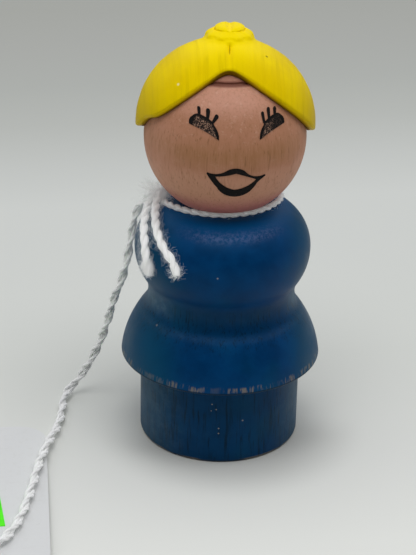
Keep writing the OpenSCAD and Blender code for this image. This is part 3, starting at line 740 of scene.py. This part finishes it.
def paintMaterial(look):
    material, shader, place = newMaterial(
        "bluePaint", look["roughness"], Specular_IOR_Level=0.2, Specular_Tint=(0.2, 0.55, 1.0, 1.0))
    x, y, z = place.parts()
    side, height = abs(x) * 1000, z * 1000
    cloud, wide = place.noise(260, 4.0, 0.6), place.noise(90)
    streaks, pores = place.group(woodGrain, Across=2600.0, Along=190.0, **{"Pore Share": 0.45})
    # loose teal patches, and a painted reflection tint toward the left and right sides
    tealAndReflection = (wide.ease(0.5, 0.7) * 0.5).over(side.ease(*look["reflectionTintSide"]))
    # grain reads through the paint on the plug and at the waist
    plugZone = height.ease(*look["plugZone"])
    grainZone = plugZone.over(height.band(*look["waistZone"]) * 0.9)
    waistShade = height.band(*look["shadeZone"]) * side.ease(*look["shadeSide"]) * cloud.ease(0.3, 0.6, 0.4, 1.0)
    poreMask = pores * (grainZone * 0.5 + 0.03)
    # dust in the waist and at the plug's sides, and a painted highlight along the top of the skirt
    waistDust = height.band(*look["dustZone"]) * side.ease(*look["dustSide"])
    dustAndHighlight = waistDust.over(height.band(*look["skirtHighlightZone"]) * 0.08).over(plugZone * side.ease(*look["plugSide"]))
    dustAndHighlight = dustAndHighlight * (place.noise(700, 4.0, 0.7).ease(0.4, 0.68) * 0.6 + 0.4)
    # a painted highlight, mottled, on the front of the shoulder
    shoulderHighlight = height.band(*look["shoulderHighlightZone"]) * side.ease(*look["shoulderHighlightSide"]) * y.ease(*look["front"])
    # paint worn off the hem's lip in short upright dashes, and off the plug's foot
    dash, gaps = place.vector("MULTIPLY", (2900, 2900, 210)).noise(1.0, 3.0, 0.6), place.noise(230)
    lipWear = (height + place.noise(800) * 0.7).band(*look["lipZone"]) * dash.ease(0.47, 0.6)
    wear = lipWear * gaps.ease(0.36, 0.6, 0.15, 0.85)
    wear = wear.over(height.ease(*look["footZone"]) * gaps.ease(0.42, 0.55))
    colour = cloud.ease(0.3, 0.7).mix(look["deep"], look["paint"]).layered(
        look, (tealAndReflection, "tealAndReflection"), (plugZone * 0.3, "plug"), (waistShade, "shadow"),
        (streaks.ease(0.48, 0.66) * grainZone * 0.65, "darkGrainAndShade"), (poreMask * 0.7, "pore"), (dustAndHighlight, "dustAndHighlight"),
        # painted light: the paint lighter just under the neck, where the head casts shade; then the painted shoulder
        # highlight
        (height.ease(*look["neckLightZone"]), "neck"), (shoulderHighlight * place.noise(2300, 4.0, 0.75).ease(0.38, 0.66), "sheen"),
        # paint worn to wood, then painted shade under the hem on the plug's top
        (wear * 0.62, "wood"), (height.ease(*look["shadeUnderHem"]) * height.ease(*look["hemEdge"]), "darkGrainAndShade"),
        (place.group(looseSpecks, Scale=420.0, Share=0.035, Size=0.09)[0] * 0.25, "paleWood"))
    colour = marked(place, colour, look["nicks"], look["paleWood"], 0.5)
    surface(shader, colour, (cloud * 0.4 - poreMask * 0.6 - wear * 0.5, 0.35, 0.08),
            dustAndHighlight * 0.3 + cloud.ease(0.3, 0.7, -0.05, 0.08) + look["roughness"])
    return material


bodyPiece = turnedPiece("turnedBody", bodyProfile(bodyForm), paintMaterial(paintLook), bodyForm["steps"])
takePlace(bodyPiece, "body", "body")
print("body turned:", len(bodyPiece.data.polygons), "faces")

# The ball head: flat seat, nail bore and counterbore, and one cut groove under the hair
headForm = {
    "ballRadius": 10.7, "ballZ": 43.65, "flatDepth": 2.2, "boreRadius": 1.26, "seatRadius": 2.7,
    "seatZ": 51.0, "grooveAngle": 57, "grooveRadius": 0.25, "steps": 224,
}


def headProfile(form):
    radius, middle, angle = form["ballRadius"], form["ballZ"], form["grooveAngle"]
    lowest = -degrees(asin(1 - form["flatDepth"] / radius))
    highest = degrees(acos(form["seatRadius"] / radius))
    half = degrees(form["grooveRadius"] / radius)
    cutMiddle = (radius * cos(radians(angle)), middle + radius * sin(radians(angle)))
    flatZ = middle + radius * sin(radians(lowest))
    loop = [(form["boreRadius"], flatZ), (form["boreRadius"] * 3, flatZ)]
    loop += arc((0, middle), radius, lowest, angle - half, 90)
    loop += arc(cutMiddle, form["grooveRadius"], angle - 84, angle - 276, 10)
    loop += arc((0, middle), radius, angle + half, highest, 16)
    loop += [(form["seatRadius"], form["seatZ"]), (form["boreRadius"], form["seatZ"])]
    return heldCorners(loop + loop[:1], 0.04, 25)


# Matt flesh stain: zones are heights from the ball's middle, in millimetres
skinLook = {
    "forehead": (201, 146, 123), "middle": (178, 125, 97), "band": (154, 108, 66), "lower": (190, 138, 112),
    "chin": (168, 104, 98), "grain": (150, 102, 68), "pore": (112, 78, 48), "pale": (226, 190, 170),
    "groove": (112, 60, 46), "roughness": 0.6,
    "waver": 2.2, "foreheadZone": (4.4, 7.4), "lowerZone": (-0.6, -2.6), "bandZone": (-0.3, 2.2, 1.4),
    "paleSide": (6.0, 10.0, 0.0, 0.4), "chinZone": (-4.6, -8.0), "grainZone": (7.5, 2.5, 0.15, 0.5),
    "poreZone": (8, 2, 0.1, 0.4), "mottleZone": (1.5, 5.0, 0.0, 0.24), "paleZone": (1.0, 5.0, 0.08, 0.3),
    "hairShadeAboveGroove": (0.05, 0.5, 0.0, 0.5), "cutZone": (-0.3, 0.28, 0.12),
}


def skinMaterial(look, form):
    material, shader, place = newMaterial("stainedBall", look["roughness"], Specular_IOR_Level=0.25)
    x, _, z = place.parts()
    height = z * 1000 - form["ballZ"]
    streaks, pores = place.group(woodGrain, Across=3000.0, Along=260.0, **{"Pore Share": 0.35})
    cloud = place.noise(330, 4.0, 0.65)
    waver = height + (cloud - 0.5) * look["waver"]
    aboveGroove = height - form["ballRadius"] * sin(radians(form["grooveAngle"]))
    mottle = place.noise(2700, 3.0, 0.6).ease(0.48, 0.66) * height.ease(*look["mottleZone"])
    palePatches = place.noise(1300, 3.0, 0.7).ease(0.55, 0.75) * height.ease(*look["paleZone"])
    colour = waver.ease(*look["foreheadZone"]).mix(look["middle"], look["forehead"]).layered(
        look, (waver.ease(*look["lowerZone"]), "lower"),
        (waver.band(*look["bandZone"]) * streaks.ease(0.3, 0.65, 0.3, 0.75), "band"),
        ((abs(x) * 1000).ease(*look["paleSide"]), "forehead"), (height.ease(*look["chinZone"]), "chin"),
        (streaks.ease(0.47, 0.7) * height.ease(*look["grainZone"]), "grain"),
        (pores * height.ease(*look["poreZone"]), "pore"), (mottle, "band"), (palePatches, "pale"),
        # painted shade cast by the hair's edge above the groove; then the cut groove darker
        (aboveGroove.ease(*look["hairShadeAboveGroove"]), "groove"), (aboveGroove.band(*look["cutZone"]) * 0.85, "groove"))
    surface(shader, colour, (streaks * 0.7 + cloud * 0.3, 0.25, 0.06), cloud.ease(0.3, 0.7, 0.52, 0.68))
    return material


headPiece = turnedPiece("ballHead", headProfile(headForm), skinMaterial(skinLook, headForm), headForm["steps"])
takePlace(headPiece, "head", "head")
print("head turned:", len(headPiece.data.polygons), "faces")

# Moulded hair cap: a parted shell with combed strands, and a bun of two tiers behind the crown
hairForm = {
    "ballZ": headForm["ballZ"], "innerRadius": 10.8, "sideThickness": 1.05, "peakThickness": 0.9,
    "topThickness": 2.1, "rimRound": 0.3, "edge": -1, "peak": 65, "spread": 60, "swell": 60, "turn": -6,
    # the lower edge at the sides: how many degrees up, at which angle from the front, and how wide
    "sideMoves": [(3.6, -73, 9), (-3.2, 85, 18)],
    "partDepth": 0.3, "partWidth": 0.45, "slitDepth": 0.12, "slitWidth": 0.11, "slitLength": 2.0,
    "footFillet": 0.22, "filletReach": 0.4, "edgeFade": 1.2, "strandDepth": 0.035,
    # ridges of the strands: how close they lie, where they start, and how much each counts
    "ridges": [(3.1, 0.4, 0.3), (5.3, 1.9, 0.3), (8.6, 4.1, 0.24), (1.7, 2.7, 0.3)],
    "bunRadius": 3.3, "tierHeight": 1.0, "topTierRadius": 1.95, "bunHeight": 1.65, "bunBack": 2.0, "bunSide": 0.4,
    "lobes": 9, "lobeDepth": 0.1, "notchDepth": 0.34, "notchWidth": 0.36,
    # the bun's profile: shares of a tier's radius and height; the crease fills at the front by the third number
    "lowerTier": [(0.94, 0.35, 0), (0.89, 0.62, 0), (0.8, 0.82, 0.02), (0.7, 0.97, 0.08), (0.63, 1.0, 0.18),
                  (0.605, 0.96, 0.24)],
    "upperTier": [(1.0, 0.42), (0.99, 0.5), (0.94, 0.62), (0.83, 0.82), (0.66, 0.96), (0.45, 1.03), (0.22, 1.0)],
    # uneven hair on the bun's tiers: its depth, how close it lies, and how it shifts with height
    "lowerRipple": (0.012, 23, 9), "upperRipple": (0.01, 17, 7),
    "footFade": 0.03, "gather": 25, "halvings": 22,
    "columns": 512, "innerRows": 24, "rimRows": 8, "outerRows": 90, "bunSteps": 4,
}


def hairRows(form):
    # Rows of points from under the bun down the inside, round the lower edge, and up to the bun's top
    inner, outer = form["innerRadius"], form["innerRadius"] + form["topThickness"]
    middle = np.array([form["bunSide"], form["bunBack"], 0])
    axis = middle / outer
    axis[2] = sqrt(1 - axis @ axis)
    right = np.cross([0, 1, 0], axis)
    right /= np.linalg.norm(right)
    rear = np.cross(axis, right)
    partTurn = atan2(-form["bunSide"], form["bunBack"] + inner * cos(radians(form["peak"])))
    even = np.linspace(0, 2 * pi, form["columns"], endpoint=False)
    # columns lie closer near the parting
    fromPart = even - radians(form["gather"]) * np.sin(even)
    angle = partTurn + fromPart
    level = np.stack([np.sin(angle), -np.cos(angle), 0 * angle], 1)
    outwards = np.sin(angle)[:, None] * right - np.cos(angle)[:, None] * rear

    def ripple(height, kind):
        depth, rate, shift = form[kind]
        return depth * np.sin(rate * angle + shift * height)

    def way(away):
        away = np.broadcast_to(away, angle.shape)[:, None]
        return np.cos(away) * axis + np.sin(away) * outwards

    def hump(direction, at, width):
        azimuth = np.degrees(np.arctan2(direction[:, 0], -direction[:, 1]))
        return np.exp(-((azimuth - at) / width) ** 2)

    def arch(direction):
        return hump(direction, 0, form["spread"])

    near, far = np.zeros_like(angle), np.full_like(angle, 2.1)
    for _ in range(form["halvings"]):
        half = (near + far) / 2
        direction = way(half)
        edge = form["edge"] + (form["peak"] - form["edge"]) * arch(direction)
        edge = edge + sum(rise * hump(direction, at, width) for rise, at, width in form["sideMoves"])
        over = np.degrees(np.arcsin(direction[:, 2])) > edge
        near, far = np.where(over, half, near), np.where(over, far, half)
    last, foot = (near + far) / 2, asin(form["bunRadius"] / outer)
    archAtEdge = arch(way(last))
    edgeThick = form["sideThickness"] + (form["peakThickness"] - form["sideThickness"]) * archAtEdge
    swellAngle = np.minimum(radians(form["swell"]), last - foot)

    def surfaceRow(away):
        swell = np.sin(pi / 2 * np.minimum(1, (last - away) / swellAngle))
        rim = np.minimum(1, (last - away) * inner / form["rimRound"])
        off, past = outer * np.sin(away) * np.sin(fromPart), (away - foot) * outer
        along = np.clip(past / form["slitLength"], 0, 1)
        groove = form["partDepth"] * np.exp(-(off / form["partWidth"]) ** 2)
        groove = groove + form["slitDepth"] * np.exp(-(off / form["slitWidth"]) ** 2) * np.sin(pi * along) ** 0.7
        groove = np.where(np.cos(fromPart) > 0, groove, 0)
        fade = np.clip((away - foot) / form["footFade"], 0, 1)
        fillet = form["footFillet"] * np.exp(-past / form["filletReach"])
        # uneven ridges, combed straight down to the front and the back
        across = outer * np.sin(away) * np.sin(angle)
        ridges = sum(weight * np.sin(rate * across + phase + 0.8 * np.sin(2.3 * away + 0.6 * across + phase))
                     for rate, phase, weight in form["ridges"])
        edgeFade = np.clip((last - away) * inner / form["edgeFade"], 0, 1)
        strands = form["strandDepth"] * (0.6 + 0.6 * ridges) * fade * edgeFade
        reach = (inner + edgeThick - form["rimRound"] * (1 - np.sqrt(rim * (2 - rim)))
                 + (form["topThickness"] - edgeThick) * swell - groove * fade * np.sqrt(swell) - strands + fillet)
        return reach[:, None] * way(away)

    rows = [inner * way(last * i / form["innerRows"]) for i in range(1, form["innerRows"] + 1)]
    # how far each row lies in the shade of the lower edge, for the colour
    rimShare = [i / form["rimRows"] for i in range(form["rimRows"] + 1)]
    lip = [np.ones_like(angle)] * len(rows) + [(0.3 + 0.7 * archAtEdge ** 5) * (1 - share) ** 1.2 for share in rimShare]
    rimAngle = form["rimRound"] / inner
    rows += [surfaceRow(last - rimAngle * (1 - cos(pi / 2 * share))) for share in rimShare]
    for i in range(1, form["outerRows"] + 1):
        rows.append(surfaceRow(last - rimAngle - (last - rimAngle - foot) * i / form["outerRows"]))
    footZ = rows[-1][:, 2]
    wave = 1 - form["lobeDepth"] / form["bunRadius"] * np.cos(form["lobes"] * fromPart)
    tierZ, upper = outer * axis[2] + form["tierHeight"], form["bunHeight"] - form["tierHeight"]
    filled = np.clip(np.cos(fromPart), 0, 1) ** 1.5
    radii, heights = [np.full_like(angle, form["bunRadius"])], [footZ]
    for share, height, fill in form["lowerTier"]:
        radii.append(share * form["bunRadius"] * wave + ripple(height, "lowerRipple"))
        heights.append(footZ + height * (tierZ - footZ) + fill * filled)
    for share, height in form["upperTier"]:
        r = share * form["topTierRadius"]
        radii.append(r + ripple(height, "upperRipple"))
        notch = form["notchDepth"] * np.exp(-(r * np.sin(fromPart) / form["notchWidth"]) ** 2) * height ** 2
        heights.append(tierZ + height * upper - notch)
    for r, z in list(zip(rounded(radii, form["bunSteps"]), rounded(heights, form["bunSteps"])))[1:]:
        rows.append(middle + r[:, None] * level + z[:, None] * np.array([0, 0, 1]))
    return rows, lip, inner * axis, middle + np.array([0, 0, tierZ + upper - form["notchDepth"]])


def hairMesh(form, finish):
    rows, lip, innerPole, outerPole = hairRows(form)
    count, depth = form["columns"], len(rows)
    points = np.concatenate([np.stack(rows, 1).reshape(-1, 3), innerPole[None], outerPole[None]])
    spin = np.array(Matrix.Rotation(radians(form["turn"]), 3, "Z"))
    points = (points @ spin.T + np.array([0, 0, form["ballZ"]])) * mm
    faces = []
    for i in range(count):
        a, b = i * depth, ((i + 1) % count) * depth
        faces.append((count * depth, a, b))
        faces += [(a + j, a + j + 1, b + j + 1, b + j) for j in range(depth - 1)]
        faces.append((count * depth + 1, b + depth - 1, a + depth - 1))
    mesh = bpy.data.meshes.new("hairCap")
    mesh.from_pydata(points.tolist(), [], faces)
    shades = np.zeros((depth, count))
    shades[:len(lip)] = lip
    mesh.attributes.new("lip", "FLOAT", "POINT").data.foreach_set("value", np.append(shades.T.reshape(-1), [1.0, 0.0]))
    mesh.materials.append(finish)
    mesh.polygons.foreach_set("use_smooth", [True] * len(mesh.polygons))
    mesh.update()
    facesOut(mesh)
    return newObject("hairCap", mesh)


# Satin plastic: zones are heights from the ball's middle, in millimetres
hairLook = {
    "yellow": (244, 214, 0), "deep": (233, 200, 0), "low": (200, 170, 0), "high": (255, 226, 0),
    "lip": (104, 66, 4), "dirt": (112, 88, 10), "slit": (110, 76, 0), "pale": (250, 240, 170), "roughness": 0.5,
    "lowShadeZone": (9.5, 1.5), "topHighlightZone": (10.2, 13.2), "strandTop": (11.8, 12.8), "slitTop": (9, 10),
    # the parting's slit, painted darker: its offset and slope, then its width and length
    "slitStart": 4.48, "slitSlope": 0.062, "slitWide": (-0.03, 0.08, 0.05), "slitLong": (-2.9, -1.6, 0.3),
    "darkMarks": [(4.6, -2.94, 55.12, 0.25)],
    "paleMarks": [(-7.01, -4.68, 52.47, 0.24), (-4.74, -6.67, 52.29, 0.2)],
}


def hairMaterial(look, form):
    material, shader, place = newMaterial(
        "mouldedHair", look["roughness"], Specular_IOR_Level=0.14, Specular_Tint=(1.0, 0.85, 0.0, 1.0))
    x, y, z = place.parts()
    height = z * 1000 - form["ballZ"]
    spin = radians(form["turn"])
    across = x * (1000 * cos(spin)) + y * (1000 * sin(spin))
    along = y * (1000 * cos(spin)) - x * (1000 * sin(spin))
    strands = combined(place.tree, across, along * 0.05, height * 0.05).noise(1.9, 3.0, 0.6)
    cloud = place.noise(200, 3.0)
    belowBun = height.ease(*look["strandTop"], 1.0, 0.0)
    slit = (across - (along + look["slitStart"]) * look["slitSlope"]).band(*look["slitWide"])
    slit = slit * along.band(*look["slitLong"]) * height.ease(*look["slitTop"]) * 0.75
    specks = place.group(looseSpecks, Scale=330.0, Share=0.05, Size=0.085)[0]
    scuffs = place.group(looseSpecks, Scale=240.0, Share=0.02, Size=0.08)[0]
    colour = cloud.ease(0.3, 0.7).mix(look["deep"], look["yellow"]).layered(
        # painted shade lower down the cap, and a painted highlight toward the top
        look, (height.ease(*look["lowShadeZone"]), "low"), (height.ease(*look["topHighlightZone"]), "high"),
        (strands.ease(0.46, 0.62, 0.0, 0.23) * cloud.ease(0.35, 0.6, 0.35, 1.0) * belowBun, "low"), (slit, "slit"),
        (strands.ease(0.56, 0.75) * cloud.ease(0.4, 0.65, 0.0, 0.2) * belowBun, "dirt"),
        (specks * 0.75, "dirt"), (scuffs * 0.6, "pale"))
    colour = marked(place, colour, look["paleMarks"], look["pale"], 0.8)
    colour = marked(place, colour, look["darkMarks"], look["slit"], 0.8)
    # painted shade on the cap's inside and lower edge, darkest under the front arch
    lip = add(place.tree, "ShaderNodeAttribute", out="Fac", attribute_name="lip").ease(0.35, 1.0, 0.0, 0.9)
    colour = lip.mix(colour, look["lip"])
    surface(shader, colour, (strands, 0.25, 0.08), cloud.ease(0.3, 0.7, 0.42, 0.58))
    return material


hairPiece = hairMesh(hairForm, hairMaterial(hairLook, hairForm))
takePlace(hairPiece, "hair_cap", "head")
print("hair moulded:", len(hairPiece.data.polygons), "faces")

# Printed ink on the ball, thin and speckled inside the eyes
inkLook = {
    "ink": (15, 13, 13), "worn": (52, 40, 36), "skin": (180, 142, 120),
    "roughness": 0.8, "tilt": 1.7, "eyeIn": 2.628, "eyeUp": 3.004,
    # sides of an eye's speckled field: a point on each, the way in, and the rim kept solid, in millimetres on the face
    "fieldSides": [((0, 0), (-0.380, 0.925), (0.05, 0.2)), ((0, 0), (0.954, -0.301), (0.1, 0.34)),
                   ((0.85, 2.15), (0.372, -0.928), (0.15, 0.5)), ((3.48, 1.43), (-0.923, -0.383), (0.2, 0.6))],
    # where ink is missing: share of the field, and how far from the inner corner that goes on
    "speckled": {"eye_print_left": (0.52, 9.0), "eye_print_right": (0.53, 1.6), "mouth_print": None},
}


def inkMaterial(name, look, speckled, ballZ):
    material, shader, place = newMaterial(name, look["roughness"], Specular_IOR_Level=0.15)
    fine = place.noise(2600, 3.0, 0.7)
    colour = fine.ease(0.5, 0.8, 0.0, 0.6).mix(look["ink"], look["worn"])
    if speckled:
        share, reach = speckled
        x, _, z = place.parts()
        x, z = x * 1000, z * 1000 - ballZ
        tilt = radians(look["tilt"])
        across = abs(x * cos(tilt) - z * sin(tilt)) - look["eyeIn"]
        up = x * sin(tilt) + z * cos(tilt) - look["eyeUp"]
        field = across.ease(reach - 0.4, reach + 0.5, 1.0, 0.12)
        for (startX, startZ), (inX, inZ), rim in look["fieldSides"]:
            inward = (across - startX) * inX + (up - startZ) * inZ
            field = field.math("MINIMUM", inward.ease(*rim))
        gaps = place.noise(6200, 2.0, 0.7).ease(share, share + 0.08)
        colour = colour.layered(look, (field * 0.6, "worn"), (gaps * field * 0.85, "skin"))
    surface(shader, colour, (fine, 0.1, 0.02))
    return material


# Card, sticker and nail keep their solids
cardLook = {"card": (216, 217, 217), "fibre": (205, 205, 203), "edge": (208, 207, 203)}
# the sticker's faint glow is painted light, an emission on a part that is no lamp
stickerLook = {"neon": (84, 240, 14), "deep": (66, 222, 10), "glow": 0.07}
steelLook = {"steel": (178, 178, 182), "drawn": (120, 118, 116), "roughness": 0.35}


def cardMaterial(look):
    material, shader, place = newMaterial("tagCard", 0.6, Specular_IOR_Level=0.35)
    fibre = place.vector("MULTIPLY", (1400, 1400, 600)).noise(1.0, 3.0, 0.6)
    colour = fibre.ease(0.5, 0.85, 0.0, 0.5).mix(look["card"], look["fibre"])
    surface(shader, colour.layered(look, (place.noise(600, 4.0, 0.7).ease(0.6, 0.8, 0.0, 0.3), "edge")),
            (fibre, 0.12, 0.03))
    return material


def stickerMaterial(look):
    material, shader, place = newMaterial("neonSticker", 0.5, Specular_IOR_Level=0.3, Emission_Strength=look["glow"],
                                          Emission_Color=linearColour(look["neon"]))
    cloud = place.noise(500, 3.0)
    surface(shader, cloud.ease(0.3, 0.7).mix(look["deep"], look["neon"]), (cloud, 0.1, 0.03))
    return material


def steelMaterial(look):
    material, shader, place = newMaterial("nailSteel", look["roughness"], Metallic=1.0)
    drawn = place.vector("MULTIPLY", (4000, 4000, 300)).noise(1.0, 3.0)
    surface(shader, drawn.mix(look["drawn"], look["steel"]), (drawn, 0.15, 0.03), drawn.ease(0.3, 0.7, 0.28, 0.5))
    return material


finishes = {node: inkMaterial(node.replace("_", " "), inkLook, speckled, headForm["ballZ"])
            for node, speckled in inkLook["speckled"].items()}
finishes |= {"tag": cardMaterial(cardLook), "tag_sticker": stickerMaterial(stickerLook),
             "neck_nail": steelMaterial(steelLook)}
for node, finish in finishes.items():
    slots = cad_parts[node].data.materials
    slots.clear()
    slots.append(finish)
print("prints, card, sticker and nail coated")
